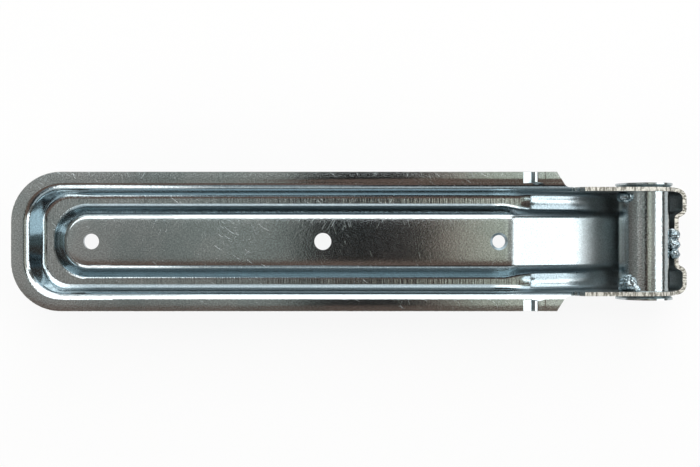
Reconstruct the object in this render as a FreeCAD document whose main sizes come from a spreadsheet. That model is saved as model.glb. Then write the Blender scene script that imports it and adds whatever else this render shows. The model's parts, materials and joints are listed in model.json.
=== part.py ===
import FreeCAD, Part
import os
import Sketcher

# Trailer side hinge: a pressed steel strap, a barrel tube through its two ears and three weld beads.
# The origin is the middle of the barrel's axis, which lies along Y. The strap runs towards -X and its
# board side faces +Z.

SIZES = [
    ("sheet_thickness", 2.0, "steel sheet of the strap"),
    ("board_level", 12.75, "height of the board side above the barrel axis"),
    ("strap_reach", 320.1, "barrel axis to the far end of the strap"),
    ("flange_half_width", 34.9, "centre line to the flange's edge"),
    ("flange_corner", 25.0, "corner radius of the strap's far end"),
    ("flange_stop", 47.1, "barrel axis to where the flange starts to narrow"),
    ("flange_narrowing", 3.6, "length of the flange's diagonal end"),
    ("flange_width", 9.7, "flange's edge to the groove's outer wall"),
    ("end_flange_width", 7.6, "far end to the top of the groove's end wall"),
    ("groove_depth", 9.0, "board side to the groove's floor"),
    ("end_wall_angle", 55.0, "slope of the groove's end wall"),
    ("wall_corner", 15.5, "plan radius of the groove's outer corners"),
    ("edge_bend", 4.0, "bend from the flange into the groove, board side"),
    ("floor_bend", 3.4, "bend from the groove's floor into its outer wall, board side"),
    ("groove_width", 12.0, "groove's outer wall to the upper corner of the centre strip"),
    ("end_groove_width", 19.6, "top of the groove's end wall to the far end of the centre strip"),
    ("island_end_flat", 1.4, "half the straight part of the centre strip's far end"),
    ("island_wall_angle", 62.0, "slope of the centre strip's side walls"),
    ("island_end_angle", 48.0, "slope of the centre strip's end wall"),
    ("island_bend", 3.0, "bend from the centre strip into its walls, board side"),
    ("island_foot_bend", 2.0, "bend from the groove's floor into the centre strip's walls"),
    ("slope_angle", 22.4, "slope of the strap's nose down from the board"),
    ("nose_bend", 1.5, "bend where the nose starts to slope, at the groove's underside"),
    ("strip_radius", 14.9, "barrel axis to the centre strip where it curls round the barrel"),
    ("groove_radius", 19.0, "barrel axis to the groove's floor where it curls round the barrel"),
    ("curl_height", 3.0, "how far the curled end rises past the barrel axis"),
    ("ear_height", 15.4, "barrel axis to the top edge of the ears"),
    ("ear_start", 37.5, "barrel axis to the foot of the ears' rear edge"),
    ("ear_ramp", 4.0, "length of the ears' sloping rear edge"),
    ("notch_radius", 1.8, "relief notch between flange and ear"),
    ("tab_hollow", 3.5, "radius of the hollow where the flange's end meets the wall"),
    ("crease_place", 59.7, "barrel axis to the bottom of the crease across the flange"),
    ("crease_fall", 4.15, "length of the crease's long side"),
    ("crease_rise", 1.75, "length of the crease's steep side"),
    ("crease_depth", 1.45, "depth of the crease"),
    ("ridge_fall", 1.1, "length of the ridge's side towards the barrel"),
    ("ridge_height", 0.5, "height of that ridge"),
    ("ridge_run_out", 4.3, "length over which the flange comes level again"),
    ("tube_radius", 12.7, "barrel tube, outside"),
    ("tube_bore", 10.2, "barrel tube, inside radius"),
    ("flare_radius", 14.2, "outer edge of the tube's flared ends"),
    ("flare_length", 2.2, "length of each flare"),
    ("flare_lip", 0.9, "flat left on the flare's rim"),
    ("tube_clearance", 0.1, "gap round the tube in the ears"),
    ("far_hole_inset", 12.9, "far end of the centre strip to the far fixing hole"),
    ("far_hole_radius", 3.9, "far fixing hole"),
    ("middle_hole_place", 164.2, "barrel axis to the middle fixing hole"),
    ("middle_hole_radius", 4.25, "middle fixing hole"),
    ("near_hole_place", 76.05, "barrel axis to the near fixing hole"),
    ("near_hole_radius", 3.25, "near fixing hole"),
    ("near_hole_sink", 0.6, "depth of the sunk rim of the near fixing hole"),
    ("near_hole_rim", 1.1, "width of that sunk rim"),
    ("upper_bead_radius", 2.8, "ripple of the weld at the +Y ear"),
    ("upper_bead_angle", 68.0, "middle of that weld, round the barrel from the top"),
    ("lower_bead_radius", 3.9, "ripple of the weld at the -Y ear"),
    ("lower_bead_angle", 52.0, "middle of that weld, round the barrel from the top"),
    ("ripple_angle", 10.0, "turn round the barrel from ripple to ripple"),
    ("front_bead_radius", 2.7, "ripple of the weld at the curled end"),
    ("front_bead_pitch", 4.9, "distance from ripple to ripple at the curled end"),
    ("front_bead_shift", 1.5, "middle of the front weld, towards -Y"),
]

# The plan widths and reaches that follow from the sizes, in the sheet's words.
WALL_HALF_WIDTH = "( flange_half_width - flange_width )"
ISLAND_HALF_WIDTH = f"( {WALL_HALF_WIDTH} - groove_width )"
ISLAND_CORNER = f"( {ISLAND_HALF_WIDTH} - island_end_flat )"
END_WALL_REACH = "( strap_reach - end_flange_width )"
ISLAND_REACH = f"( {END_WALL_REACH} - end_groove_width )"
HOLE_PLACES = {
    "far": f"( {ISLAND_REACH} - far_hole_inset )",
    "middle": "middle_hole_place",
    "near": "near_hole_place",
}

doc = FreeCAD.newDocument("trailer_side_hinge")
sheet = doc.addObject("Spreadsheet::Sheet", "Sizes")
for row, (word, size, meaning) in enumerate(SIZES, start=1):
    sheet.set(f"A{row}", meaning)
    sheet.set(f"B{row}", str(size))
    sheet.setAlias(f"B{row}", word)
doc.recompute()


def worked(text):
    """The number that an expression in the sheet's words comes to now."""
    return float(sheet.evalExpression(text))


def bound(text):
    """The expression as other objects write it: each word of the sheet with the sheet's name before it."""
    for word, size, meaning in SIZES:
        text = " ".join(f"Sizes.{piece}" if piece == word else piece for piece in text.split(" "))
    return text


def origin_plane(body, role):
    return next(feature for feature in body.Origin.OriginFeatures if feature.Role == role)


def arc_between(start, end, radius, side):
    """The arc of less than half a turn from start to end, anticlockwise where side is 1."""
    chord = end - start
    height = (radius ** 2 - (chord.Length / 2) ** 2) ** 0.5
    across = FreeCAD.Vector(-chord.y, chord.x, 0).normalize()
    centre = (start + end) / 2 + across * (side * height)
    circle = Part.Circle(centre, FreeCAD.Vector(0, 0, 1), radius)
    first, last = (start, end) if side > 0 else (end, start)
    return Part.ArcOfCircle(circle, circle.parameter(first), circle.parameter(last))


def outline(body, name, role, corners, height="0", closed=True):
    """A sketch on one of the body's planes. A corner is (across, up), and where the edge that leaves it
    is an arc, (across, up, radius, side)."""
    sketch = body.newObject("Sketcher::SketchObject", name)
    sketch.AttachmentSupport = [(origin_plane(body, role), "")]
    sketch.MapMode = "FlatFace"
    sketch.setExpression("AttachmentOffset.Base.z", bound(height))
    points = [FreeCAD.Vector(worked(corner[0]), worked(corner[1]), 0) for corner in corners]
    count = len(corners) if closed else len(corners) - 1
    ends = []
    for index in range(count):
        start, end = points[index], points[(index + 1) % len(points)]
        if len(corners[index]) == 2:
            sketch.addGeometry(Part.LineSegment(start, end))
            ends.append((1, 2))
        else:
            radius, side = corners[index][2:]
            sketch.addGeometry(arc_between(start, end, worked(radius), side))
            ends.append((1, 2) if side > 0 else (2, 1))
            pin(sketch, Sketcher.Constraint("Radius", index, worked(radius)), f"radius_{index}", radius)
    for index in range(count):
        place(sketch, index, ends[index][0], points[index], f"corner_{index}", corners[index])
    for index in range(count if closed else count - 1):
        following = (index + 1) % count
        sketch.addConstraint(
            Sketcher.Constraint("Coincident", index, ends[index][1], following, ends[following][0]))
    if not closed:
        place(sketch, count - 1, ends[-1][1], points[-1], "last", corners[-1])
    return sketch


def pin(sketch, constraint, name, text):
    number = sketch.addConstraint(constraint)
    sketch.renameConstraint(number, name)
    sketch.setExpression(f".Constraints.{name}", bound(text))


def place(sketch, edge, end, point, name, corner):
    """Holds one end of an edge at its two distances from the sketch's origin."""
    pin(sketch, Sketcher.Constraint("DistanceX", -1, 1, edge, end, point.x), f"{name}_x", corner[0])
    pin(sketch, Sketcher.Constraint("DistanceY", -1, 1, edge, end, point.y), f"{name}_y", corner[1])


def round_ended(reach, half_width, corner, stop):
    """Corners of a long plan outline with a rounded far end, open towards the barrel."""
    return [
        (stop, f"-1 * ( {half_width} )"),
        (stop, half_width),
        (f"{corner} - ( {reach} )", half_width, corner, 1),
        (f"-1 * ( {reach} )", f"{half_width} - ( {corner} )"),
        (f"-1 * ( {reach} )", f"{corner} - ( {half_width} )", corner, 1),
        (f"{corner} - ( {reach} )", f"-1 * ( {half_width} )"),
    ]


def side_line(start, level, radius, bend):
    """Corners of the line that the strap follows, seen from the side: level, a bend, the slope that meets
    the circle round the barrel, the curl and a short upright end."""
    kink = f"( -1 * ( ( {radius} ) + ( {level} ) * cos( slope_angle ) ) / sin( slope_angle ) )"
    tangent = f"( {bend} ) * tan( slope_angle / 2 )"
    return [
        (start, level),
        (f"{kink} - {tangent}", level, bend, -1),
        (f"{kink} + {tangent} * cos( slope_angle )", f"( {level} ) - {tangent} * sin( slope_angle )"),
        (f"-1 * ( {radius} ) * sin( slope_angle )", f"-1 * ( {radius} ) * cos( slope_angle )", radius, 1),
        (f"{radius}", "0"),
    ]


def solid(body, kind, name, **settings):
    """A feature of the body. A text setting is an expression in the sheet's words."""
    feature = body.newObject(kind, name)
    for word, setting in settings.items():
        if isinstance(setting, str) and word in ("Length", "Radius"):
            feature.setExpression(word, bound(setting))
        else:
            setattr(feature, word, setting)
    doc.recompute()
    return feature


TOUCH = 0.01


def is_across(points):
    """Whether an edge runs straight across the strap."""
    lengthwise = max(p.x for p in points) - min(p.x for p in points)
    return lengthwise < TOUCH < points[-1].y - points[0].y


def depth_inside(point, reach, half_width, corner):
    """How far a point lies inside a plan outline with a rounded far end."""
    beyond = corner - reach - point.x
    aside = abs(point.y) - (half_width - corner)
    if beyond > 0 and aside > 0:
        return corner - (beyond ** 2 + aside ** 2) ** 0.5
    return min(half_width - abs(point.y), point.x + reach)


def edges_where(shape, test):
    """Names of the edges whose sample points, sorted across the strap, all together pass the test."""
    names = []
    for number, edge in enumerate(shape.Edges, start=1):
        points = sorted(edge.discretize(5), key=lambda point: point.y)
        if test(points):
            names.append(f"Edge{number}")
    return names


def drawn_form(name, skin):
    """The solid below one face of the drawn sheet: the board side where skin is 0, and the underside where
    it is the sheet's thickness."""
    level = f"( board_level - {skin} )"
    depth = "( groove_depth + sheet_thickness )"
    wall = f"( {WALL_HALF_WIDTH} + {skin} )"
    wall_corner = f"( wall_corner + {skin} )"
    end_reach = f"( {END_WALL_REACH} + {skin} * tan( end_wall_angle / 2 ) )"
    floor_reach = f"( {end_reach} - groove_depth / tan( end_wall_angle ) )"
    island = f"( {ISLAND_HALF_WIDTH} - {skin} * tan( island_wall_angle / 2 ) )"
    island_corner = f"( {ISLAND_CORNER} - {skin} * tan( island_wall_angle / 2 ) )"
    island_reach = f"( {ISLAND_REACH} - {skin} * tan( island_end_angle / 2 ) )"
    island_lean = f"( {depth} / tan( island_wall_angle ) )"
    straight_start = f"{ISLAND_CORNER} * 2 - {ISLAND_REACH}"
    bend = f"( groove_depth + nose_bend + sheet_thickness * 2 - {skin} )"
    strip = f"( strip_radius + {skin} )"
    groove = f"( groove_radius + {skin} )"

    body = doc.addObject("PartDesign::Body", name)
    far = f"-1 * ( strap_reach + flange_corner + {skin} )"
    front = f"groove_radius * 2 + {skin}"
    side = f"flange_half_width + flange_corner + {skin}"
    block = outline(body, name + "_block_outline", "XY_Plane",
                    [(far, f"-1 * ( {side} )"), (front, f"-1 * ( {side} )"), (front, side), (far, side)], level)
    solid(body, "PartDesign::Pad", name + "_block", Profile=block, Reversed=True,
          Length=f"groove_radius * 3 + {skin}")

    pan_top = outline(body, name + "_pan_top", "XY_Plane",
                      round_ended(end_reach, wall, wall_corner, straight_start), level)
    pan_floor = outline(body, name + "_pan_floor", "XY_Plane",
                        round_ended(floor_reach, wall, wall_corner, straight_start),
                        f"{level} - groove_depth")
    solid(body, "PartDesign::SubtractiveLoft", name + "_pan", Profile=pan_top, Sections=[pan_floor], Ruled=True)
    run_stop = "-1 * ( ear_start + sheet_thickness )"
    run = outline(body, name + "_run_outline", "XY_Plane",
                  [(straight_start, f"-1 * {wall}"), (run_stop, f"-1 * {wall}"), (run_stop, wall),
                   (straight_start, wall)], level)
    pan = solid(body, "PartDesign::Pocket", name + "_run", Profile=run, Length="groove_depth")

    top, stop, half = worked(level), worked(run_stop), worked(wall)
    reach = worked(end_reach)
    rim = edges_where(pan.Shape, lambda points: all(
        abs(p.z - top) < TOUCH and abs(p.y) < half + TOUCH and p.x > -reach - TOUCH for p in points)
        and not (is_across(points) and points[0].x > stop - TOUCH))
    solid(body, "PartDesign::Fillet", name + "_edge_bend", Base=(pan, rim), Radius=f"edge_bend - {skin}")

    profile = side_line(straight_start, f"{level} - groove_depth", groove, bend)
    profile += [(groove, f"{level} + groove_depth"), (straight_start, f"{level} + groove_depth")]
    nose_line = outline(body, name + "_nose_line", "XZ_Plane", profile)
    solid(body, "PartDesign::Pocket", name + "_nose", Profile=nose_line, SideType="Symmetric",
          Length=f"2 * {wall}")

    island_top = outline(body, name + "_island_top", "XY_Plane",
                         round_ended(island_reach, island, island_corner, straight_start), level)
    island_foot = outline(body, name + "_island_foot", "XY_Plane",
                          round_ended(f"( {island_reach} + {depth} / tan( island_end_angle ) )",
                                      f"( {island} + {island_lean} )", f"( {island_corner} + {island_lean} )",
                                      straight_start), f"{level} - {depth}")
    solid(body, "PartDesign::AdditiveLoft", name + "_island_end", Profile=island_top, Sections=[island_foot],
          Ruled=True)
    path = outline(body, name + "_island_path", "XZ_Plane",
                   side_line(straight_start, level, strip, bend) + [(strip, level)], closed=False)
    low = f"{level} - {depth}"
    section = outline(body, name + "_island_section", "YZ_Plane",
                      [(f"-1 * {island}", level), (f"-1 * ( {island} + {island_lean} )", low),
                       (f"{island} + {island_lean}", low), (island, level)], straight_start)
    crowned = solid(body, "PartDesign::AdditivePipe", name + "_island", Profile=section, Spine=path)

    floor_level, floor_end, corner = worked(f"{level} - groove_depth"), worked(floor_reach), worked(wall_corner)
    crown_half, crown_reach = worked(island), worked(island_reach)
    crown_corner, nose_start = worked(island_corner), worked(straight_start)

    def is_foot(points):
        if is_across(points) and points[0].x > nose_start:
            return False
        inside = all(depth_inside(p, floor_end, half, corner) > 1 for p in points)
        level_run = all(abs(p.z - floor_level) < TOUCH for p in points)
        nose_run = all(p.z < floor_level + TOUCH or p.x > 0 for p in points) and points[0].x > nose_start
        return inside and (level_run or nose_run) and all(abs(p.y) > crown_half + 1 or level_run for p in points)

    foot = edges_where(crowned.Shape, is_foot)
    footed = solid(body, "PartDesign::Fillet", name + "_foot_bend", Base=(crowned, foot),
                   Radius=f"island_foot_bend + {skin}")

    def is_floor_edge(points):
        on_wall = all(abs(depth_inside(p, floor_end, half, corner)) < TOUCH for p in points)
        low = all(p.z < floor_level + TOUCH for p in points)
        front_run = all(p.x > worked(groove) - TOUCH for p in points) and not is_across(points)
        return on_wall and (low or front_run)

    floored = solid(body, "PartDesign::Fillet", name + "_floor_bend",
                    Base=(footed, edges_where(footed.Shape, is_floor_edge)), Radius=f"floor_bend + {skin}")

    def is_crown_edge(points):
        if is_across(points) and points[0].x > nose_start:
            return False
        at_rim = all(abs(depth_inside(p, crown_reach, crown_half, crown_corner)) < TOUCH for p in points)
        return at_rim and (points[0].x > nose_start or all(abs(p.z - top) < TOUCH for p in points))

    formed = solid(body, "PartDesign::Fillet", name + "_island_bend",
                   Base=(floored, edges_where(floored.Shape, is_crown_edge)), Radius=f"island_bend - {skin}")

    ridge = "crease_rise - crease_place"
    low_side = f"{level} - ridge_height"
    crease_corners = [("-1 * ( crease_place + crease_fall )", level),
                      ("-1 * crease_place", f"{level} - crease_depth"),
                      (ridge, f"{level} - ridge_height / 5"),
                      (f"{ridge} + ridge_fall", low_side),
                      (f"{ridge} + ridge_fall + ridge_run_out", level)]
    for side, sign in (("plus_y", "-1"), ("minus_y", "1")):
        crease = outline(body, f"{name}_crease_{side}", "XZ_Plane", crease_corners,
                         f"{sign} * ( {WALL_HALF_WIDTH} + edge_bend )")
        before = formed.Shape.Volume
        formed = solid(body, "PartDesign::Pocket", f"{name}_crease_cut_{side}", Profile=crease,
                       Length="flange_corner * 2", Reversed=side == "minus_y")
        if formed.Shape.Volume > before - 1:
            raise ValueError(f"the crease on {side} cuts nothing from {name}")
    return body


def strap_blank():
    """The plan outline that the sheet is trimmed to, as an upright block."""
    body = doc.addObject("PartDesign::Body", "blank")
    front = "groove_radius + sheet_thickness * 2"
    ear = f"( {WALL_HALF_WIDTH} + sheet_thickness )"
    bend_line = f"( {WALL_HALF_WIDTH} + edge_bend )"
    narrow = "flange_narrowing - flange_stop"
    hollow_end = f"{narrow} + tab_hollow"
    far = round_ended("strap_reach", "flange_half_width", "flange_corner", "-1 * flange_stop")
    corners = [(front, f"-1 * {ear}"), (front, ear), (hollow_end, ear, "tab_hollow", -1), (narrow, bend_line)]
    corners += far[1:] + [far[0], (narrow, f"-1 * {bend_line}", "tab_hollow", -1),
                          (hollow_end, f"-1 * {ear}")]
    trim = outline(body, "blank_outline", "XY_Plane", corners, "board_level * 2")
    solid(body, "PartDesign::Pad", "blank_block", Profile=trim, Reversed=True, Length="groove_radius * 4")
    return body


def ear(name, inner_plane):
    """One upright ear: a flat plate in the plane of the groove's outer wall."""
    body = doc.addObject("PartDesign::Body", name)
    side_view = outline(body, name + "_outline", "XZ_Plane", [
        ("-1 * ear_start", "board_level - groove_depth / 2"),
        ("-1 * ear_start", "board_level"),
        ("ear_ramp - ear_start", "ear_height"),
        ("0", "ear_height", "ear_height", -1),
        ("sqrt( ear_height ^ 2 - curl_height ^ 2 )", "curl_height"),
        ("0", "-1 * curl_height"),
    ], inner_plane)
    solid(body, "PartDesign::Pad", name + "_plate", Profile=side_view, Length="sheet_thickness")
    return body


def primitive(kind, name, spot=("0", "0", "0"), turned=False, **sizes):
    """A Part primitive at a spot, lying along Y where turned."""
    shape = doc.addObject(kind, name)
    for word, text in sizes.items():
        shape.setExpression(word, bound(text))
    for axis, text in zip("xyz", spot):
        shape.setExpression(f"Placement.Base.{axis}", bound(text))
    if turned:
        shape.Placement.Rotation = FreeCAD.Rotation(FreeCAD.Vector(1, 0, 0), 90)
    return shape


def joined(name, shapes):
    fusion = doc.addObject("Part::MultiFuse", name)
    fusion.Shapes = shapes
    fusion.Refine = True
    return fusion


def less(name, base, tool, kind="Part::Cut"):
    difference = doc.addObject(kind, name)
    difference.Base = base
    difference.Tool = tool
    difference.Refine = True
    return difference


def fixing_hole(name):
    return primitive("Part::Cylinder", name + "_hole",
                     (f"-1 * {HOLE_PLACES[name]}", "0", "board_level - groove_depth"),
                     Radius=f"{name}_hole_radius", Height="groove_depth * 2")


def strap():
    """The pressed sheet: what lies between its two drawn faces, trimmed, with ears and holes."""
    drawn = less("drawn_sheet", drawn_form("board_side", "0"), drawn_form("underside", "sheet_thickness"))
    trimmed = less("trimmed_sheet", drawn, strap_blank(), "Part::Common")
    above_curl = primitive("Part::Box", "above_curl", ("0", "-1 * flange_half_width", "curl_height"),
                           Length="groove_radius * 2", Width="flange_half_width * 2",
                           Height="board_level * 2")
    open_nose = less("open_nose", trimmed, above_curl)
    eared = joined("eared_sheet", [open_nose, ear("ear_plus_y", f"-1 * ( {WALL_HALF_WIDTH} + sheet_thickness )"),
                                   ear("ear_minus_y", WALL_HALF_WIDTH)])
    notches = primitive("Part::Cylinder", "ear_notches", ("-1 * ear_start", "flange_half_width", "board_level"),
                        turned=True, Radius="notch_radius", Height="flange_half_width * 2")
    seat = primitive("Part::Cylinder", "barrel_seat", ("0", "flange_half_width", "0"), turned=True,
                     Radius="tube_radius + tube_clearance", Height="flange_half_width * 2")
    sink = primitive("Part::Cone", "near_sink", ("-1 * near_hole_place", "0", "board_level - near_hole_sink"),
                     Radius1="near_hole_radius", Radius2="near_hole_radius + near_hole_rim",
                     Height="near_hole_sink")
    cuts = joined("openings", [notches, seat, sink] + [fixing_hole(name) for name in ("far", "middle", "near")])
    return less("strap", eared, cuts)


def barrel_tube():
    """A tube along Y whose two ends flare outward past the ears."""
    body = doc.addObject("PartDesign::Body", "barrel_tube")
    end = f"( {WALL_HALF_WIDTH} + sheet_thickness + tube_clearance + flare_length )"
    neck = f"( {end} - flare_length )"
    lip = f"( {end} - flare_lip )"
    mouth = "flare_radius - flare_lip"
    bell = "sqrt( ( flare_radius - flare_lip - tube_bore ) ^ 2 + flare_length ^ 2 )"
    profile = outline(body, "tube_profile", "XY_Plane", [
        ("tube_radius", f"-1 * {neck}"),
        ("tube_radius", neck),
        ("flare_radius", lip),
        ("flare_radius", end),
        (mouth, end, bell, 1),
        ("tube_bore", neck),
        ("tube_bore", f"-1 * {neck}", bell, 1),
        (mouth, f"-1 * {end}"),
        ("flare_radius", f"-1 * {end}"),
        ("flare_radius", f"-1 * {lip}"),
    ])
    solid(body, "PartDesign::Revolution", "tube_turned", Profile=profile,
          ReferenceAxis=(profile, ["V_Axis"]), Angle=360)
    return body


def weld_bead(name, spots, radius, steel):
    """Overlapping round ripples, cut back to the steel that they lie on."""
    ripples = [primitive("Part::Sphere", f"{name}_ripple_{number}", spot, Radius=radius)
               for number, spot in enumerate(spots, start=1)]
    return less(name, joined(name + "_ripples", ripples), steel)


def round_barrel(angle, across):
    """Two spots on the barrel's surface, side by side round it."""
    turns = [f"( {angle} + {step} * ripple_angle / 2 )" for step in ("-1", "1")]
    return [(f"-1 * tube_radius * sin( {turn} )", across, f"tube_radius * cos( {turn} )") for turn in turns]


strap_solid = strap()
tube = barrel_tube()
barrel = primitive("Part::Cylinder", "barrel_envelope", ("0", "flange_half_width", "0"), turned=True,
                   Radius="tube_radius", Height="flange_half_width * 2")
steel = joined("steel_under_welds", [strap_solid, barrel])
upper_bead = weld_bead("weld_bead_upper",
                       round_barrel("upper_bead_angle", f"{WALL_HALF_WIDTH} - upper_bead_radius"),
                       "upper_bead_radius", steel)
lower_bead = weld_bead("weld_bead_lower",
                       round_barrel("lower_bead_angle", f"lower_bead_radius - {WALL_HALF_WIDTH}"),
                       "lower_bead_radius", steel)
front_spots = [("( tube_radius + strip_radius + sheet_thickness ) / 2",
                f"{step} * front_bead_pitch - front_bead_shift", "curl_height") for step in ("-1", "0", "1")]
front_bead = weld_bead("weld_bead_front", front_spots, "front_bead_radius", steel)

doc.recompute()
for thing in doc.Objects:
    if "Invalid" in thing.State or "Error" in thing.State:
        raise ValueError(f"{thing.Name} failed: {thing.State}")
os.makedirs("parts", exist_ok=True)
for piece in (strap_solid, tube, upper_bead, lower_bead, front_bead):
    if piece.Shape.isNull() or not piece.Shape.isValid():
        raise ValueError(f"{piece.Label} has no valid shape")
    piece.Shape.exportStep(f"parts/{piece.Label}.step")
    print(piece.Label, len(piece.Shape.Solids), "solid", round(piece.Shape.Volume), "mm3")
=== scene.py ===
import json
import math
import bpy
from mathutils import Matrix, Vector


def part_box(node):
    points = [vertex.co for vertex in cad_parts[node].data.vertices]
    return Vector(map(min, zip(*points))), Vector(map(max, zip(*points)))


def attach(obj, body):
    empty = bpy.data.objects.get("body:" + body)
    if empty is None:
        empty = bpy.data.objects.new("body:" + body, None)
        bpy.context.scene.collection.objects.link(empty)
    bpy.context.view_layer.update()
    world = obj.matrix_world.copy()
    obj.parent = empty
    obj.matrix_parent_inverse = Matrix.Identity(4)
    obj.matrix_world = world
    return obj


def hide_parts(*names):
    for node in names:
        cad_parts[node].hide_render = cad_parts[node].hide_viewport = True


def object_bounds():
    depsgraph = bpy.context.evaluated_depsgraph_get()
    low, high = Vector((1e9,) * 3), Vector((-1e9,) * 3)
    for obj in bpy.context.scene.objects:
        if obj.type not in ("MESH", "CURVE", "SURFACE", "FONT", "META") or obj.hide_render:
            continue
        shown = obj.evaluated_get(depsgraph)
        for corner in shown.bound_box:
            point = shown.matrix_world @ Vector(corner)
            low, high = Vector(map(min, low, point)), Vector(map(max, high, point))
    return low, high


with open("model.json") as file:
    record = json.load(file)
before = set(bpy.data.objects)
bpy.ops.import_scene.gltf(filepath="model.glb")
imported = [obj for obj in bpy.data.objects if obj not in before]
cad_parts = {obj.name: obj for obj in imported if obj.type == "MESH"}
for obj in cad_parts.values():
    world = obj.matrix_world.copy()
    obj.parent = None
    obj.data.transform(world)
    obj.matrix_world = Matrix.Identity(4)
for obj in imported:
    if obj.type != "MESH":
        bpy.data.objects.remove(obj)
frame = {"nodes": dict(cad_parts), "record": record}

from types import SimpleNamespace

import bpy
from bpy.props import FloatProperty, FloatVectorProperty, PointerProperty, StringProperty
from mathutils import Vector

bl_info = {
    "name": "Trailer side hinge",
    "version": (1, 0, 0),
    "blender": (4, 5, 0),
    "location": "View3D > Sidebar > Side hinge",
    "description": "Finishes and lights a bright zinc-plated side hinge of a trailer",
    "category": "Object",
}

CAD_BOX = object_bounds()
STRAP_LOW, STRAP_HIGH = (Vector(corner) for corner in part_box("strap"))
MOUNTS = {mount["name"]: mount for mount in frame["record"]["mounts"]}
BOARD_LEVEL = MOUNTS["board_face"]["pos_m"][2]
MM = 0.001

# Lumps and runs of weld metal on each bead: centre and half sizes in millimetres.
WELD_LUMPS = {
    "upper": [((-13.7, 22.9, 6.6), (0.8, 1.9, 1.9)), ((-11.8, 20.5, 7.8), (1.9, 0.8, 1.9)),
              ((-9.7, 22.4, 9.4), (0.8, 2.0, 1.7)), ((-12.6, 24.2, 4.0), (1.4, 1.3, 2.2))],
    "lower": [((-10.2, -18.2, 8.6), (1.5, 1.5, 1.4)), ((-6.6, -23.8, 11.2), (2.0, 1.6, 1.3)),
              ((-8.6, -20.6, 10.0), (1.6, 2.3, 1.4)), ((-11.6, -21.6, 7.4), (1.7, 2.2, 1.7)),
              ((-12.8, -24.0, 5.2), (1.5, 1.4, 2.2))],
    "front": [((13.8, 5.8, 3.0), (2.1, 0.7, 1.6)), ((15.6, 3.8, 3.4), (0.8, 1.7, 1.4)),
              ((13.9, 2.0, 3.2), (1.9, 0.7, 1.7)), ((12.8, -0.2, 3.2), (0.8, 1.9, 1.6)),
              ((14.6, -2.4, 3.6), (1.9, 0.7, 1.5)), ((15.6, -4.4, 3.2), (0.8, 1.6, 1.4)),
              ((13.8, -6.8, 2.8), (2.0, 0.8, 1.5))],
}
# How far the ripples stand on each bead, in millimetres.
WELD_RIPPLE = {"upper": 0.8, "lower": 1.2, "front": 1.2}

# Width and height of each grain of the sheet, in millimetres: slow waves, orange peel and plating grain.
SHEET_GRAINS = ((28.0, 0.05), (1.3, 0.014), (0.6, 0.012))
# Direction in degrees and offset of each set of scratches.
SCRATCH_SETS = ((35, 1.7), (118, 5.1), (72, 9.4))
# The plating's patterns, in spots per millimetre: clouds 20 mm wide, specks and pits. The real specks and
# pits are too fine to show, so they are drawn about half a millimetre wide.
CLOUDS_PER_MM = 0.05
SPECKS_PER_MM = 1.5
PITS_PER_MM = 2.2


# Sizes and colours

class HingeFinish(bpy.types.PropertyGroup):
    """Colours, painted shade, gloss and wear of the plated steel."""
    zinc: StringProperty(
        name="Zinc", description="Colour of bright plated zinc, as sRGB hex", default="B4BBBD")
    passivation: StringProperty(
        name="Passivation", description="Blue cast of the clear passivation, as sRGB hex", default="AAB4B6")
    # The groove colour is painted shade: zinc darker and bluer in the recess below the board face, less
    # towards the nose and none on the groove's floor.
    groove: StringProperty(
        name="Groove zinc", description="Zinc in the groove, where the blue is thicker, as sRGB hex",
        default="9EADB3")
    # The wall colour is painted shade on the groove's walls, the sunk rim and the nose band's sides, and the
    # colour of soot on the weld.
    wall_shade_and_soot: StringProperty(
        name="Wall zinc", description="Zinc on the drawn walls of the groove, as sRGB hex", default="818F95")
    shear: StringProperty(
        name="Sheared edge", description="Colour of the ridges of a cut edge, as sRGB hex", default="CFCEC6")
    torn: StringProperty(
        name="Torn edge", description="Colour in the dips of a cut edge, as sRGB hex", default="7F7D75")
    tooth: FloatProperty(
        name="Tooth", description="Spacing of the dips along a cut edge", default=0.8 * MM, min=0.1 * MM,
        unit="LENGTH")
    bite: FloatProperty(
        name="Bite", description="Depth of the dips along a cut edge", default=0.12 * MM, min=0.0,
        unit="LENGTH")
    gloss: FloatProperty(
        name="Roughness", description="Middle roughness of the plating", default=0.12, min=0.02, max=1.0,
        subtype="FACTOR")
    dull_gloss: FloatProperty(
        name="Dull roughness", description="Roughness at the feet of the walls and on the nose", default=0.45,
        min=0.02, max=1.0, subtype="FACTOR")
    torn_gloss: FloatProperty(
        name="Torn roughness", description="Roughness of a cut edge", default=0.6, min=0.02, max=1.0,
        subtype="FACTOR")
    scratch: FloatProperty(
        name="Scratch", description="Depth of the handling scratches", default=0.014 * MM, min=0.0,
        unit="LENGTH")


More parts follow.
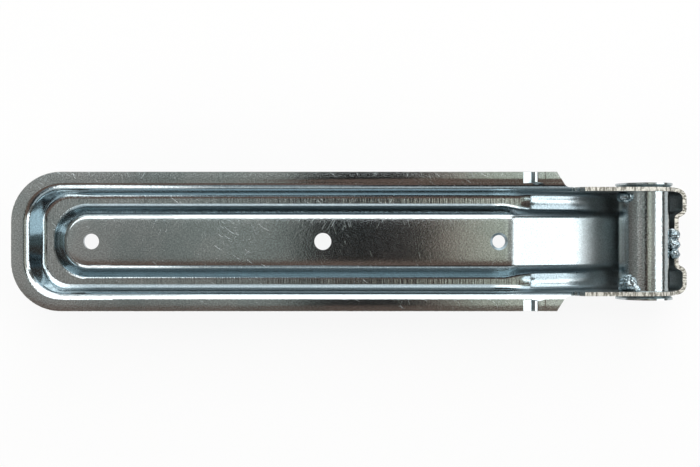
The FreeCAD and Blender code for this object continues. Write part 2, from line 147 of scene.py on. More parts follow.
class HingeStrap(bpy.types.PropertyGroup):
    """Sizes of the strap that its finish follows."""
    crown: FloatProperty(
        name="Crown", description="How far the centre strip bows up in the middle", default=0.17 * MM,
        min=0.0, unit="LENGTH")
    crown_run: FloatProperty(
        name="Crown run", description="Distance over which the bow dies out", default=2.5 * MM,
        min=0.1 * MM, unit="LENGTH")
    far_corner: FloatProperty(
        name="Far corner", description="Corner radius of the strap's far end", default=25 * MM, min=0.0,
        unit="LENGTH")
    flange_width: FloatProperty(
        name="Flange", description="Width of the flange's flat", default=5.7 * MM, min=0.0, unit="LENGTH")
    flange_crown: FloatProperty(
        name="Flange crown", description="How far the flange's flat bows up", default=0.045 * MM, min=0.0,
        unit="LENGTH")
    flange_roll: FloatProperty(
        name="Flange roll", description="How far the flange's inner edge rolls down", default=0.33 * MM,
        min=0.0, unit="LENGTH")
    strip_half_width: FloatProperty(
        name="Strip half width", description="Centre line to the centre strip's edge", default=13.2 * MM,
        min=0.0, unit="LENGTH")
    strip_flat: FloatProperty(
        name="Strip flat", description="Centre line to the edge of the strip's flat", default=11.4 * MM,
        min=0.0, unit="LENGTH")
    strip_reach: FloatProperty(
        name="Strip reach", description="Barrel axis to the centre strip's far end", default=292.9 * MM,
        min=0.0, unit="LENGTH")
    strip_corner: FloatProperty(
        name="Strip corner", description="Corner radius of the centre strip's far end", default=11.8 * MM,
        min=0.0, unit="LENGTH")
    groove_floor: FloatProperty(
        name="Groove floor", description="Height of the groove's floor over the axis", default=3.75 * MM,
        unit="LENGTH")
    flute_line: FloatProperty(
        name="Flute line", description="Centre line to the middle of a nose groove", default=21.2 * MM,
        min=0.0, unit="LENGTH")
    flute_pitch: FloatProperty(
        name="Flute pitch", description="Width of one flute on the nose", default=8.4 * MM, min=1.0 * MM,
        unit="LENGTH")
    near_rim: FloatProperty(
        name="Near hole's rim", description="Radius of the sunk rim round the near hole",
        default=4.35 * MM, min=0.0, unit="LENGTH")
    curl_height: FloatProperty(
        name="Curl", description="Height of the curled end over the axis", default=3.0 * MM, unit="LENGTH")


class HingeWelds(bpy.types.PropertyGroup):
    """Skin of the weld beads."""
    grid: FloatProperty(
        name="Skin grid", description="Width of the grid on which bead and lumps become one skin",
        default=0.22 * MM, min=0.1 * MM, unit="LENGTH")
    melt: FloatProperty(
        name="Melt", description="How far each of the smoothing rounds evens the skin", default=0.6,
        min=0.0, max=1.0, subtype="FACTOR")
    ripple_width: FloatProperty(
        name="Ripple width", description="Width of the ripples on the beads", default=2.0 * MM,
        min=0.5 * MM, unit="LENGTH")


class HingeStage(bpy.types.PropertyGroup):
    """Camera and light of the studio."""
    height: FloatProperty(
        name="Camera height", description="Camera above the board side", default=0.5, min=0.1,
        unit="LENGTH")
    field: FloatProperty(
        name="Field", description="Length of the board side that the picture's width takes in",
        default=0.35, min=0.05, unit="LENGTH")
    centre: FloatVectorProperty(
        name="Centre", description="Point of the board side under the camera", size=2,
        default=(-0.1506, 0.0040), unit="LENGTH")
    ceiling: FloatProperty(
        name="Ceiling", description="Height of the lamps and cards over the part", default=1.2, min=0.6,
        unit="LENGTH")
    lamp_level: FloatProperty(
        name="Lamp level", description="Brightness of the lamp panels, where 1 is white", default=2.1,
        min=0.0)
    room_level: FloatProperty(
        name="Room level", description="Brightness of the room's own soft light", default=0.25, min=0.0)
    floor: StringProperty(
        name="Floor", description="Colour of the floor's paper, as sRGB hex", default="F4F4F2")
    floor_size: FloatProperty(
        name="Floor size", description="Side of the floor's square of paper", default=8.0, min=2.0,
        unit="LENGTH")
    evenness: FloatProperty(
        name="Floor evenness", description="Share of the floor that shows even white", default=0.88,
        min=0.0, max=1.0, subtype="FACTOR")


# Building blocks of the finishes

def linear(code):
    """An sRGB hex colour as linear red, green, blue and alpha."""
    parts = [int(code[place:place + 2], 16) / 255 for place in (0, 2, 4)]
    return [part / 12.92 if part <= 0.04045 else ((part + 0.055) / 1.055) ** 2.4 for part in parts] + [1.0]


def add(tree, kind, inputs=(), **settings):
    """Adds a node. An input is given as (socket, value or output socket)."""
    node = tree.nodes.new(kind)
    for word, setting in settings.items():
        setattr(node, word, setting)
    for socket, value in inputs:
        if isinstance(value, bpy.types.NodeSocket):
            tree.links.new(value, node.inputs[socket])
        else:
            node.inputs[socket].default_value = value
    return node


def new_material(name):
    """A material with an empty node tree."""
    material = bpy.data.materials.new(name)
    material.use_nodes = True
    material.node_tree.nodes.clear()
    return material, material.node_tree


def dress(node, material):
    """Gives a piece its one material."""
    node.data.materials.clear()
    node.data.materials.append(material)


def in_millimetres(tree):
    """The place on the piece, in millimetres."""
    place = add(tree, "ShaderNodeTexCoord").outputs["Object"]
    return add(tree, "ShaderNodeVectorMath", [(0, place), ("Scale", 1 / MM)], operation="SCALE").outputs[0]


def distance(tree, value, mark):
    """How far a value lies from a mark, on either side."""
    gap = add(tree, "ShaderNodeMath", [(0, value), (1, mark)], operation="SUBTRACT")
    return add(tree, "ShaderNodeMath", [(0, gap.outputs[0])], operation="ABSOLUTE").outputs[0]


def on_strap(tree):
    """Where a place on the strap is, in millimetres, and which way its face looks."""
    place = in_millimetres(tree)
    axes = add(tree, "ShaderNodeSeparateXYZ", [("Vector", place)]).outputs
    facing = add(tree, "ShaderNodeNewGeometry").outputs["Normal"]
    facing = add(tree, "ShaderNodeSeparateXYZ", [("Vector", facing)]).outputs
    return SimpleNamespace(place=place, x=axes["X"], y=axes["Y"], z=axes["Z"],
                           aside=distance(tree, axes["Y"], 0.0), facing_y=facing["Y"], facing_z=facing["Z"])


def depth_inside(tree, at, half_width, reach, corner):
    """How far a place lies inside a plan outline with a rounded far end, in millimetres."""
    aside = add(tree, "ShaderNodeMath", [(0, at.aside), (1, half_width - corner)], operation="SUBTRACT")
    aside = add(tree, "ShaderNodeMath", [(0, aside.outputs[0]), (1, 0.0)], operation="MAXIMUM")
    beyond = add(tree, "ShaderNodeMath", [(0, corner - reach), (1, at.x)], operation="SUBTRACT")
    beyond = add(tree, "ShaderNodeMath", [(0, beyond.outputs[0]), (1, 0.0)], operation="MAXIMUM")
    offset = add(tree, "ShaderNodeCombineXYZ", [("X", aside.outputs[0]), ("Y", beyond.outputs[0])])
    length = add(tree, "ShaderNodeVectorMath", [(0, offset.outputs[0])], operation="LENGTH")
    depth = add(tree, "ShaderNodeMath", [(0, corner), (1, length.outputs["Value"])], operation="SUBTRACT")
    return depth.outputs[0]


def zone(tree, height, *ramps):
    """A height inside a zone, and 0 outside it. Each ramp, (value, start, end), bounds the zone on one side:
    it rises smoothly from 0 at its start to 1 at its end. Noise lies mostly between 0.3 and 0.7, so a ramp
    over noise picks its patches there."""
    for value, start, end in ramps:
        rise = add(tree, "ShaderNodeMapRange", [("Value", value), ("From Min", start), ("From Max", end)],
                   interpolation_type="SMOOTHSTEP")
        height = add(tree, "ShaderNodeMath", [(0, height), (1, rise.outputs["Result"])],
                     operation="MULTIPLY").outputs[0]
    return height


def bow(tree, depth, start, run, height):
    """A flat's bow: a height that rises from its edge, at the depth where it starts, ever more gently."""
    inside = add(tree, "ShaderNodeMath", [(0, depth), (1, start)], operation="MAXIMUM").outputs[0]
    share = add(tree, "ShaderNodeMath", [(0, start), (1, inside)], operation="SUBTRACT").outputs[0]
    share = add(tree, "ShaderNodeMath", [(0, share), (1, run)], operation="DIVIDE").outputs[0]
    share = add(tree, "ShaderNodeMath", [(0, share)], operation="EXPONENT").outputs[0]
    return add(tree, "ShaderNodeMath", [(0, share), (1, -height)], operation="MULTIPLY").outputs[0]


def total(tree, heights):
    """The sum of several heights."""
    whole = heights[0]
    for height in heights[1:]:
        whole = add(tree, "ShaderNodeMath", [(0, whole), (1, height)], operation="ADD").outputs[0]
    return whole


def largest(tree, shares):
    """The largest of several shares."""
    top = shares[0]
    for share in shares[1:]:
        top = add(tree, "ShaderNodeMath", [(0, top), (1, share)], operation="MAXIMUM").outputs[0]
    return top


def grain(tree, place, width, height, stretch=(1, 1, 1), detail=2.0):
    """Uneven height in millimetres, as wide as given, drawn out where stretch is under 1."""
    drawn = add(tree, "ShaderNodeVectorMath", [(0, place), (1, stretch)], operation="MULTIPLY").outputs[0]
    noise = add(tree, "ShaderNodeTexNoise", [("Vector", drawn), ("Scale", 1 / width), ("Detail", detail)])
    return add(tree, "ShaderNodeMath", [(0, noise.outputs["Fac"]), (1, height)],
               operation="MULTIPLY").outputs[0]


def ticks(tree, place, pitch, stretch):
    """Torn ticks across a cut edge: 0 in the dips and 1 on the ridges. The real ones are too fine to show, so
    the pitch given is coarser."""
    drawn = add(tree, "ShaderNodeVectorMath", [(0, place), (1, stretch)], operation="MULTIPLY").outputs[0]
    noise = add(tree, "ShaderNodeTexNoise", [("Vector", drawn), ("Scale", 1 / pitch), ("Detail", 1.0)])
    return zone(tree, 1.0, (noise.outputs["Fac"], 0.4, 0.56))


def scratches(tree, place, turn, seed, depth):
    """Short scratches in one direction, in patches. The real ones are too fine to show. These are about
    0.4 mm wide and 8 mm long, as coarse as the picture needs."""
    stretch = (0.12, 2.6, 1)
    patches_per_mm = 0.05
    turned = add(tree, "ShaderNodeMapping", [("Vector", place), ("Rotation", (0, 0, math.radians(turn))),
                                             ("Location", (seed, seed * 3, 0))]).outputs[0]
    drawn = add(tree, "ShaderNodeVectorMath", [(0, turned), (1, stretch)], operation="MULTIPLY").outputs[0]
    lines = add(tree, "ShaderNodeTexNoise", [("Vector", drawn), ("Scale", 1.0), ("Detail", 1.0)])
    patches = add(tree, "ShaderNodeTexNoise", [("Vector", turned), ("Scale", patches_per_mm),
                                               ("Detail", 2.0)])
    return zone(tree, -depth, (lines.outputs["Fac"], 0.68, 0.74), (patches.outputs["Fac"], 0.5, 0.62))


def plated(tree, place, finish, height, gloss=1.0, deep=None, walls=None, dull=None, sheared=None,
           teeth=None):
    """The plating's shader: bright zinc with a cloudy cast, uneven gloss and a relief in millimetres. The
    shares run from 0 to 1. Deep brings the groove's darker blue: painted shade in the strap's groove, an even
    tone on the weld. Walls brings painted shade on the strap and soot on the weld, dull a matt skin, and
    sheared the torn edge, with its dips and ridges from teeth."""
    speck_dark, speck_light = 0.78, 1.18
    glossiest, dullest = finish.gloss * gloss * 0.6, finish.gloss * gloss * 1.6
    cloud = add(tree, "ShaderNodeTexNoise", [("Vector", place), ("Scale", CLOUDS_PER_MM), ("Detail", 4.0)])
    layers = [(zone(tree, 1.0, (cloud.outputs["Fac"], 0.4, 0.65)), linear(finish.passivation))]
    # Painted shade: the groove's darker blue and the walls' dark colour are mixed in here.
    if deep is not None:
        layers += [(deep, linear(finish.groove)), (walls, linear(finish.wall_shade_and_soot))]
    if sheared is not None:
        torn = add(tree, "ShaderNodeMix", [("Factor", teeth), ("A", linear(finish.torn)),
                                           ("B", linear(finish.shear))], data_type="RGBA")
        layers.append((sheared, torn.outputs["Result"]))
    colour = linear(finish.zinc)
    for share, top in layers:
        colour = add(tree, "ShaderNodeMix", [("Factor", share), ("A", colour), ("B", top)],
                     data_type="RGBA").outputs["Result"]

    specks = add(tree, "ShaderNodeTexNoise", [("Vector", place), ("Scale", SPECKS_PER_MM), ("Detail", 2.0)])
    specks = add(tree, "ShaderNodeMapRange", [("Value", specks.outputs["Fac"]), ("From Min", 0.33),
                                              ("From Max", 0.67), ("To Min", speck_dark),
                                              ("To Max", speck_light)])
    colour = add(tree, "ShaderNodeVectorMath", [(0, colour), ("Scale", specks.outputs["Result"])],
                 operation="SCALE").outputs[0]

    pits = add(tree, "ShaderNodeTexNoise", [("Vector", place), ("Scale", PITS_PER_MM), ("Detail", 3.0)])
    rough = add(tree, "ShaderNodeMapRange", [("Value", pits.outputs["Fac"]), ("From Min", 0.35),
                                             ("From Max", 0.7), ("To Min", glossiest),
                                             ("To Max", dullest)]).outputs["Result"]
    for share, matt in ((dull, finish.dull_gloss), (sheared, finish.torn_gloss)):
        if share is not None:
            rough = add(tree, "ShaderNodeMix", [("Factor", share), ("A", rough),
                                                ("B", matt)]).outputs["Result"]

    relief = add(tree, "ShaderNodeBump", [("Height", height), ("Strength", 1.0), ("Distance", MM)])
    shader = add(tree, "ShaderNodeBsdfPrincipled", [("Base Color", colour), ("Metallic", 1.0),
                                                    ("Roughness", rough),
                                                    ("Normal", relief.outputs["Normal"])])
    add(tree, "ShaderNodeOutputMaterial", [("Surface", shader.outputs["BSDF"])])


# Finish of the strap, place by place. A zone's numbers are millimetres from the barrel's axis, along X,
# across Y or up Z. For a facing they are the part of the normal that points along its axis.

def crowned_flats(tree, at, rim, strap):
    """Heights of the flats. The strip and the flange bow up a little. The flange's inner edge rolls down,
    more towards the barrel and on the side of plus Y."""
    strip = depth_inside(tree, at, strap.strip_half_width / MM, strap.strip_reach / MM,
                         strap.strip_corner / MM)
    bend = (strap.strip_half_width - strap.strip_flat) / MM
    middle = strap.flange_width / MM / 2
    crown = strap.flange_crown / MM
    roll_start, roll_end = middle * 2.3, middle * 0.9
    return [bow(tree, strip, bend, strap.crown_run / MM, strap.crown / MM),
            zone(tree, crown, (rim, -middle, middle)),
            zone(tree, crown, (rim, middle * 3, middle)),
            zone(tree, strap.flange_roll / MM, (rim, roll_start, roll_end), (at.x, -330.0, -90.0),
                 (at.y, -60.0, 34.0))]


def levelled_crease(tree, at):
    """Height that levels the outer end of the crease between flange and nose, which is steeper on the solid
    than on the real strap."""
    step = 0.42
    return zone(tree, step, (at.x, -59.6, -58.0), (at.x, -52.3, -57.1), (at.aside, 28.0, 30.0))


def punch_marks(tree, at, strap):
    """The cross marks that the punch left on the groove's floor: the floor's share and the marks' height.
    The real marks are too fine to show, so these are drawn 0.8 mm wide."""
    width, height, stretch = 0.8, 0.11, (1, 0.05, 1)
    off_floor = distance(tree, at.z, strap.groove_floor / MM)
    on_floor = zone(tree, 1.0, (off_floor, 0.4, 0.1), (at.x, -62.0, -64.0))
    marks = grain(tree, at.place, width, height, stretch)
    return on_floor, add(tree, "ShaderNodeMath", [(0, marks), (1, on_floor)], operation="MULTIPLY").outputs[0]


def cut_edges(tree, at, rim, tooth, strap):
    """The sheared edges: the share of rim, ear tops and curled end, and the teeth along them. The ears' tops
    follow a line that is level behind the barrel's axis and round in front of it."""
    ahead = add(tree, "ShaderNodeMath", [(0, at.x), (1, 0.0)], operation="MAXIMUM").outputs[0]
    out = add(tree, "ShaderNodeCombineXYZ", [("X", ahead), ("Z", at.z)])
    out = add(tree, "ShaderNodeVectorMath", [(0, out.outputs[0])], operation="LENGTH").outputs["Value"]
    off_ear = distance(tree, out, STRAP_HIGH.z / MM)
    off_curl = distance(tree, at.z, strap.curl_height / MM)
    ear_top = zone(tree, 1.0, (off_ear, 0.15, 0.05), (at.z, 0.0, 1.0))
    curl_edge = zone(tree, 1.0, (off_curl, 0.1, 0.05), (at.x, 12.0, 13.0))
    rim_edge = zone(tree, 1.0, (rim, 0.12, 0.05))
    along_x, along_y = (1, 0.2, 1), (0.5, 1, 1)
    teeth = add(tree, "ShaderNodeMix", [
        ("Factor", curl_edge), ("A", ticks(tree, at.place, tooth, along_x)),
        ("B", ticks(tree, at.place, tooth, along_y))]).outputs["Result"]
    return largest(tree, [ear_top, curl_edge, rim_edge]), teeth


def groove_wall_shade(tree, at, strap):
    """Shares of the painted shade on the groove's walls and on their foot. The bends at the floor are rounder
    on the solid than on the real strap. So a foot that faces plus Y gets painted shade and is dull, and one
    that faces minus Y is left bright."""
    floor = strap.groove_floor / MM
    board = BOARD_LEVEL / MM
    low = (at.z, floor + 2.6, floor + 1.4)
    straight = zone(tree, 0.85, (at.x, -74.0, -80.0), (at.x, -304.0, -284.0))
    bright_foot = zone(tree, 1.0, (at.facing_y, 0.0, -0.15), low)
    painted_foot_shade = zone(tree, straight, (at.facing_y, 0.015, 0.07), low)
    # Painted shade on the walls, taken off the foot that faces minus Y.
    walls = zone(tree, straight, (at.z, floor + 0.08, floor + 0.35), (at.z, board - 0.7, board - 1.6))
    walls = add(tree, "ShaderNodeMath", [(0, walls), (1, bright_foot)], operation="SUBTRACT", use_clamp=True)
    return largest(tree, [walls.outputs[0], painted_foot_shade]), painted_foot_shade


def nose_flutes(tree, at, strap):
    """Height of the flute in each groove of the nose."""
    ridge, fade = 0.3, (-66.0, -60.0)
    phase = add(tree, "ShaderNodeMath", [(0, at.aside), (1, strap.flute_line / MM)], operation="SUBTRACT")
    phase = add(tree, "ShaderNodeMath", [(0, phase.outputs[0]), (1, math.tau / (strap.flute_pitch / MM))],
                operation="MULTIPLY")
    wave = add(tree, "ShaderNodeMath", [(0, phase.outputs[0])], operation="COSINE").outputs[0]
    wave = add(tree, "ShaderNodeMath", [(0, wave), (1, ridge)], operation="MULTIPLY").outputs[0]
    return zone(tree, wave, (at.x, *fade), (at.x, -22.0, -32.0), (at.aside, 14.2, 15.2),
                (at.aside, 25.0, 24.0))


def nose_shades(tree, at):
    """Shares of the nose. The bright band that each of its grooves mirrors is narrower on the real strap, so
    the band's sides get painted shade. The lower end and the steep walls are dull."""
    band_line = 21.0
    off_band = distance(tree, at.aside, band_line)
    # Painted shade on both sides of the band that each nose groove mirrors.
    band_side_shade = zone(tree, 0.95, (off_band, 0.6, 2.6), (at.x, -68.0, -62.0), (at.x, -16.0, -30.0),
                      (at.aside, 13.4, 14.6), (at.aside, 27.0, 26.0))
    lower_end = zone(tree, 0.7, (at.x, -42.0, -26.0))
    steep = zone(tree, 0.9, (at.facing_z, 0.86, 0.76), (at.x, -72.0, -62.0), (at.x, -16.0, -24.0))
    return band_side_shade, largest(tree, [lower_end, steep])


def sunk_rim_shade(tree, at, strap):
    """Share of the sunk rim round the near hole, where a dark ring of shade is painted and the skin is
    dulled.
    """
    centre = Vector(MOUNTS["near_hole"]["pos_m"]) / MM
    offset = add(tree, "ShaderNodeVectorMath", [(0, at.place), (1, centre)], operation="SUBTRACT")
    offset = add(tree, "ShaderNodeVectorMath", [(0, offset.outputs[0]), (1, (1, 1, 0))], operation="MULTIPLY")
    radius = add(tree, "ShaderNodeVectorMath", [(0, offset.outputs[0])], operation="LENGTH").outputs["Value"]
    return zone(tree, 1.0, (radius, strap.near_rim / MM + 0.2, strap.near_rim / MM - 0.1))


def pressed_zinc(finish, strap):
    """Cold-rolled sheet, deep drawn and bright zinc plated. It mirrors the room, and its flats are a little
    crowned, so the room shows in them drawn together. The punch left cross marks on the groove's floor, and
    the sheared edges are dull and toothed. The groove, its walls, the nose band's sides and the sunk rim have
    painted shade."""
    material, tree = new_material("bright_zinc_on_pressed_sheet")
    at = on_strap(tree)
    rim = depth_inside(tree, at, STRAP_HIGH.y / MM, -STRAP_LOW.x / MM, strap.far_corner / MM)
    heights = crowned_flats(tree, at, rim, strap)
    heights += [grain(tree, at.place, width, height) for width, height in SHEET_GRAINS]
    heights += [scratches(tree, at.place, turn, seed, finish.scratch / MM) for turn, seed in SCRATCH_SETS]
    heights.append(levelled_crease(tree, at))

    on_floor, marks = punch_marks(tree, at, strap)
    board = BOARD_LEVEL / MM
    # Painted shade: darker, bluer zinc below the board face, fading towards the nose and taken off the
    # groove's floor.
    deep = zone(tree, 1.0, (at.z, board - 0.1, board - 2.0), (at.x, -10.0, -62.0))
    deep = add(tree, "ShaderNodeMath", [(0, deep), (1, on_floor)], operation="SUBTRACT", use_clamp=True)

    sheared, teeth = cut_edges(tree, at, rim, finish.tooth / MM, strap)
    bite = add(tree, "ShaderNodeMath", [(0, teeth), (1, finish.bite / MM)], operation="MULTIPLY")
    bite = add(tree, "ShaderNodeMath", [(0, bite.outputs[0]), (1, sheared)], operation="MULTIPLY")
    heights += [marks, bite.outputs[0], nose_flutes(tree, at, strap)]

    walls, painted_foot_shade = groove_wall_shade(tree, at, strap)
    band_side_shade, dull_nose = nose_shades(tree, at)
    rim_shade = sunk_rim_shade(tree, at, strap)
    # The painted shade of the groove's walls, the sunk rim and the nose band's sides goes in as walls. The
    # foot and the sunk rim are also dulled.
    plated(tree, at.place, finish, total(tree, heights), deep=deep.outputs[0],
           walls=largest(tree, [walls, rim_shade, band_side_shade]), dull=largest(tree, [painted_foot_shade, dull_nose, rim_shade]),
           sheared=sheared, teeth=teeth)
    return material


# Finish of the other pieces and of the floor

def tube_zinc(finish):
    """Drawn tube, bright zinc plated. Faint draw lines run along the barrel and break up what it mirrors."""
    material, tree = new_material("bright_zinc_on_drawn_tube")
    place = in_millimetres(tree)
    along_barrel = (1, 0.08, 1)
    heights = [grain(tree, place, 1.4, 0.02), grain(tree, place, 0.7, 0.04),
               grain(tree, place, 1.2, 0.02, along_barrel)]
    plated(tree, place, finish, total(tree, heights))
    return material


def weld_zinc(finish):
    """Arc weld metal, lumpy and spattered, plated with the rest. Soot left dark patches on it."""
    material, tree = new_material("bright_zinc_on_weld_metal")
    place = in_millimetres(tree)
    soot_per_mm = 0.6
    soot = add(tree, "ShaderNodeTexNoise", [("Vector", place), ("Scale", soot_per_mm), ("Detail", 2.0)])
    # The groove's darker blue goes evenly over the weld as its own tone, and the soot patches take the wall
    # colour.
    plated(tree, place, finish, grain(tree, place, 1.6, 0.2, detail=3.0), gloss=1.3, deep=0.6,
           walls=zone(tree, 1.0, (soot.outputs["Fac"], 0.42, 0.6)))
    return material


def seen_directly(tree):
    """1 for the rays that show the background as it is: camera, glossy and transmission rays."""
    path = add(tree, "ShaderNodeLightPath").outputs
    return largest(tree, [path["Is Camera Ray"], path["Is Glossy Ray"], path["Is Transmission Ray"]])


def floor_paper(stage):
    """Matt white paper. Most of what the camera sees of it is even white, and the rest is its own light and
    shadow, so the strap keeps a faint shadow."""
    material, tree = new_material("matt_white_paper")
    even = add(tree, "ShaderNodeMath", [(0, seen_directly(tree)), (1, stage.evenness)], operation="MULTIPLY")
    paper = add(tree, "ShaderNodeBsdfDiffuse", [("Color", linear(stage.floor))])
    white = add(tree, "ShaderNodeEmission", [("Color", linear("FFFFFF")), ("Strength", 1.0)])
    blend = add(tree, "ShaderNodeMixShader", [("Fac", even.outputs[0]), (1, paper.outputs["BSDF"]),
                                              (2, white.outputs["Emission"])])
    add(tree, "ShaderNodeOutputMaterial", [("Surface", blend.outputs["Shader"])])
    return material


# Pieces

class HINGE_OT_strap(bpy.types.Operator):
    """Plates the pressed strap"""
    bl_idname = "hinge.strap"
    bl_label = "Strap"

    def execute(self, context):
        scene = context.scene
        dress(frame["nodes"]["strap"], pressed_zinc(scene.hinge_finish, scene.hinge_strap))
        return {"FINISHED"}


class HINGE_OT_barrel(bpy.types.Operator):
    """Plates the barrel tube"""
    bl_idname = "hinge.barrel"
    bl_label = "Barrel tube"

    def execute(self, context):
        dress(frame["nodes"]["barrel_tube"], tube_zinc(context.scene.hinge_finish))
        return {"FINISHED"}


class HINGE_OT_welds(bpy.types.Operator):
    """Lays the weld beads: the seated beads with the lumps and runs of a hand-held torch"""
    bl_idname = "hinge.welds"
    bl_label = "Weld beads"

    def execute(self, context):
        material = weld_zinc(context.scene.hinge_finish)
        welds = context.scene.hinge_welds
        clouds = bpy.data.textures.new("weld_ripples", "CLOUDS")
        clouds.noise_scale = welds.ripple_width
        for word, lumps in WELD_LUMPS.items():
            bpy.ops.object.select_all(action="DESELECT")
            seat = frame["nodes"][f"weld_bead_{word}"]
            bead = bpy.data.objects.new(f"weld_metal_{word}", seat.data.copy())
            context.scene.collection.objects.link(bead)
            drops = []
            for place, size in lumps:
                bpy.ops.mesh.primitive_uv_sphere_add(segments=24, ring_count=16, radius=MM,
                                                     location=Vector(place) * MM)
                context.object.scale = size
                drops.append(context.object)
            for drop in drops:
                drop.select_set(True)
            bpy.ops.object.transform_apply(location=True, rotation=True, scale=True)
            bead.select_set(True)
            context.view_layer.objects.active = bead
            bpy.ops.object.join()
            bpy.ops.object.mode_set(mode="EDIT")
            bpy.ops.mesh.select_all(action="SELECT")
            bpy.ops.mesh.remove_doubles(threshold=0.001 * MM)
            bpy.ops.object.mode_set(mode="OBJECT")
            skin = bead.modifiers.new("skin", "REMESH")
            skin.mode = "VOXEL"
            skin.voxel_size = welds.grid
            melt = bead.modifiers.new("melt", "SMOOTH")
            melt.factor = welds.melt
            melt.iterations = 3
            ripple = bead.modifiers.new("ripple", "DISPLACE")
            ripple.texture = clouds
            ripple.texture_coords = "GLOBAL"
            ripple.strength = WELD_RIPPLE[word] * MM
            ripple.mid_level = 0.55
            for modifier in (skin, melt, ripple):
                bpy.ops.object.modifier_apply(modifier=modifier.name)
            bpy.ops.object.shade_smooth()
            dress(bead, material)
            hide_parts(seat.name)
            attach(bead, "root")
        return {"FINISHED"}


# Studio

def softbox(name, place, aim, size, level):
    """A lamp panel. Its level is the brightness of its face, where 1 shows as white."""
    lamp = bpy.data.lights.new(name, "AREA")
    lamp.shape = "RECTANGLE"
    lamp.size, lamp.size_y = size
    lamp.energy = level * math.pi * size[0] * size[1]
    holder = bpy.data.objects.new(name, lamp)
    holder.location = place
    holder.rotation_euler = (Vector(aim) - Vector(place)).to_track_quat("-Z", "Y").to_euler()
    holder.visible_camera = False
    bpy.context.scene.collection.objects.link(holder)


def card(name, place, aim, size, colours, along=0):
    """A studio card that the steel mirrors. It lights nothing and casts no shadow. Its colours are (place
    along the axis in metres, sRGB hex)."""
    bpy.ops.object.select_all(action="DESELECT")
    bpy.ops.mesh.primitive_plane_add(size=1.0, location=(0, 0, 0))
    sheet = bpy.context.object
    sheet.name = name
    sheet.scale = (*size, 1)
    sheet.rotation_euler = (Vector(aim) - Vector(place)).to_track_quat("Z", "Y").to_euler()
    sheet.location = place
    bpy.ops.object.transform_apply(location=True, rotation=True, scale=True)
    sheet.visible_camera = False
    sheet.visible_diffuse = False
    sheet.visible_shadow = False
    material, tree = new_material(name)
    colour = linear(colours[0][1])
    spot = add(tree, "ShaderNodeSeparateXYZ", [("Vector", add(tree, "ShaderNodeTexCoord").outputs["Object"])])
    for (left, old), (right, new) in zip(colours, colours[1:]):
        share = add(tree, "ShaderNodeMapRange", [("Value", spot.outputs[along]), ("From Min", left),
                                                 ("From Max", right)], interpolation_type="SMOOTHSTEP")
        colour = add(tree, "ShaderNodeMix", [("Factor", share.outputs["Result"]), ("A", colour),
                                             ("B", linear(new))], data_type="RGBA").outputs["Result"]
    glow = add(tree, "ShaderNodeEmission", [("Color", colour), ("Strength", 1.0)])
    add(tree, "ShaderNodeOutputMaterial", [("Surface", glow.outputs["Emission"])])
    dress(sheet, material)


def lay_floor(stage):
    """The sheet of paper under the part."""
    x, y = stage.centre
    bpy.ops.object.select_all(action="DESELECT")
    bpy.ops.mesh.primitive_plane_add(size=stage.floor_size, location=(x, y, CAD_BOX[0][2]))
    floor = bpy.context.object
    floor.name = "studio_floor"
    dress(floor, floor_paper(stage))


def hang_camera(scene, stage):
    """The camera straight above the board side, with a lens that takes in the field."""
    camera = bpy.data.cameras.new("camera")
    camera.lens = camera.sensor_width * stage.height / stage.field
    holder = bpy.data.objects.new("camera", camera)
    holder.location = (*stage.centre, BOARD_LEVEL + stage.height)
    scene.collection.objects.link(holder)
    scene.camera = holder


def hang_lamps(stage):
    """Lamp panels, which light the part and show in the plating as white bands."""
    x, y = stage.centre
    top = stage.ceiling
    level = stage.lamp_level
    softbox("softbox_plus_y", (x, y + 1.12, top), (x, y + 1.12, 0), (1.9, 1.8), level)
    softbox("softbox_low_plus_y", (x + 0.35, y + 1.5, 0.75), (x + 0.35, 0, 0.75), (1.4, 0.8), level)
    softbox("softbox_plus_x", (1.2, y, 0.94), (0, y, 0.94), (1.0, 1.08), level)
    softbox("softbox_minus_y", (x - 1.35, y - 1.15, 0.97), (x - 1.35, 0, 0), (2.0, 0.9), level)


def hang_cards(stage):
    """Cards overhead, which the flats and the bends mirror, and cards around, which the walls, the nose and
    the barrel mirror."""
    x, y = stage.centre
    top = stage.ceiling
    card("ceiling_card", (x + 0.02, y - 0.1, top), (x + 0.02, y - 0.1, 0), (1.95, 0.64),
         [(x - 0.9, "C8C6C1"), (x - 0.45, "AFABA6"), (x - 0.36, "929490"), (x - 0.2, "A8AAA4"),
          (x + 0.1, "9B9C97"), (x + 0.14, "A08B80"), (x + 0.17, "A08B80"), (x + 0.23, "DCDDCB"),
          (x + 0.28, "DCDDCB"), (x + 0.36, "F6F7E8"), (x + 0.5, "E8E8D8"), (x + 0.6, "B8B6AD")])
    card("brown_card", (x, y - 0.33, top - 0.02), (x, y - 0.33, 0), (1.9, 0.41), [(0, "7F695F")])
    card("dark_card", (x + 0.6, y - 1.0, top), (x + 0.6, y - 1.0, 0), (1.2, 0.95),
         [(y - 0.7, "3C3B3C"), (y - 0.5, "55504E")], along=1)
    card("far_card", (x - 0.2, y - 1.0, top), (x - 0.2, y - 1.0, 0), (0.4, 0.95), [(0, "8B969C")])
    card("lens_card", (x + 0.027, y + 0.037, top - 0.04), (x + 0.027, y + 0.037, 0), (0.225, 0.33),
         [(0, "1D1C1D")])

    card("wall_card", (x - 1.05, y, 0.62), (x, y, 0.62), (2.4, 1.3), [(0.1, "77736F"), (0.9, "93938F")],
         along=2)
    card("low_card", (1.25, y, 0.2), (0, y, 0.2), (2.8, 0.4), [(0, "5E5A55")])
    card("side_card", (x + 0.8, y - 1.35, 0.6), (x + 0.8, 0, 0.6), (2.2, 1.2),
         [(0.3, "3A3C3E"), (0.42, "D8E2E6")], along=2)
    for name, away in (("end_card_minus_y", y - 1.0), ("end_card_plus_y", y + 1.0)):
        card(name, (1.3, away, 0.9), (0, away, 0.9), (0.9, 1.4), [(0.2, "6E6A66"), (1.3, "9A9892")], along=2)


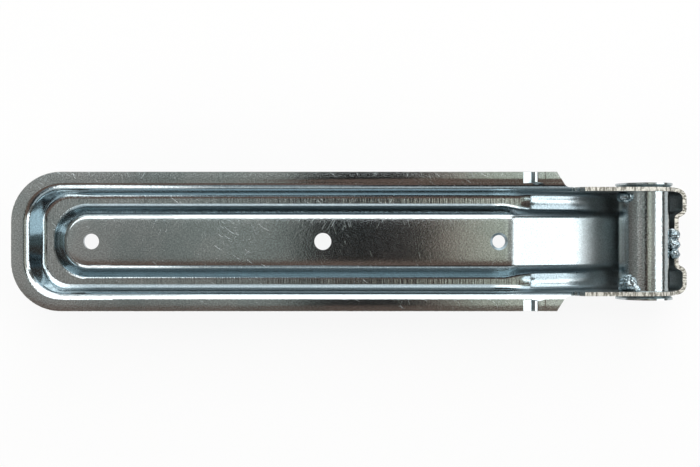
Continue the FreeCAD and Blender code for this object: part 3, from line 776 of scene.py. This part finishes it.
def light_room(scene, stage):
    """The room: white where it is seen or mirrored, and dimmer as light on the part."""
    world = bpy.data.worlds.new("studio_room")
    scene.world = world
    world.use_nodes = True
    tree = world.node_tree
    tree.nodes.clear()
    strength = add(tree, "ShaderNodeMapRange", [("Value", seen_directly(tree)), ("To Min", stage.room_level),
                                                ("To Max", 1.0)])
    back = add(tree, "ShaderNodeBackground", [("Color", linear("FFFFFF")),
                                              ("Strength", strength.outputs["Result"])])
    add(tree, "ShaderNodeOutputWorld", [("Surface", back.outputs["Background"])])


class HINGE_OT_stage(bpy.types.Operator):
    """Lays the floor, hangs the camera over the board side and sets the lamps, the cards and the room"""
    bl_idname = "hinge.stage"
    bl_label = "Stage"

    def execute(self, context):
        scene = context.scene
        stage = scene.hinge_stage
        lay_floor(stage)
        hang_camera(scene, stage)
        hang_lamps(stage)
        hang_cards(stage)
        light_room(scene, stage)
        scene.view_settings.view_transform = "Standard"
        return {"FINISHED"}


# Panel and start

OPERATORS = (HINGE_OT_strap, HINGE_OT_barrel, HINGE_OT_welds, HINGE_OT_stage)


class HINGE_PT_panel(bpy.types.Panel):
    """Lists the finish, the studio and the steps that build the hinge"""
    bl_idname = "HINGE_PT_panel"
    bl_label = "Side hinge"
    bl_space_type = "VIEW_3D"
    bl_region_type = "UI"
    bl_category = "Side hinge"

    def draw(self, context):
        layout = self.layout
        scene = context.scene
        for group in (scene.hinge_finish, scene.hinge_strap, scene.hinge_welds, scene.hinge_stage):
            box = layout.box()
            for word in group.__annotations__:
                box.prop(group, word)
        for operator in OPERATORS:
            layout.operator(operator.bl_idname)


CLASSES = (HingeFinish, HingeStrap, HingeWelds, HingeStage, *OPERATORS, HINGE_PT_panel)


def register():
    for kind in CLASSES:
        bpy.utils.register_class(kind)
    bpy.types.Scene.hinge_finish = PointerProperty(type=HingeFinish)
    bpy.types.Scene.hinge_strap = PointerProperty(type=HingeStrap)
    bpy.types.Scene.hinge_welds = PointerProperty(type=HingeWelds)
    bpy.types.Scene.hinge_stage = PointerProperty(type=HingeStage)


def unregister():
    del bpy.types.Scene.hinge_stage
    del bpy.types.Scene.hinge_welds
    del bpy.types.Scene.hinge_strap
    del bpy.types.Scene.hinge_finish
    for kind in reversed(CLASSES):
        bpy.utils.unregister_class(kind)


def main():
    register()
    bpy.ops.hinge.strap()
    bpy.ops.hinge.barrel()
    bpy.ops.hinge.welds()
    bpy.ops.hinge.stage()


if __name__ == "__main__":
    main()
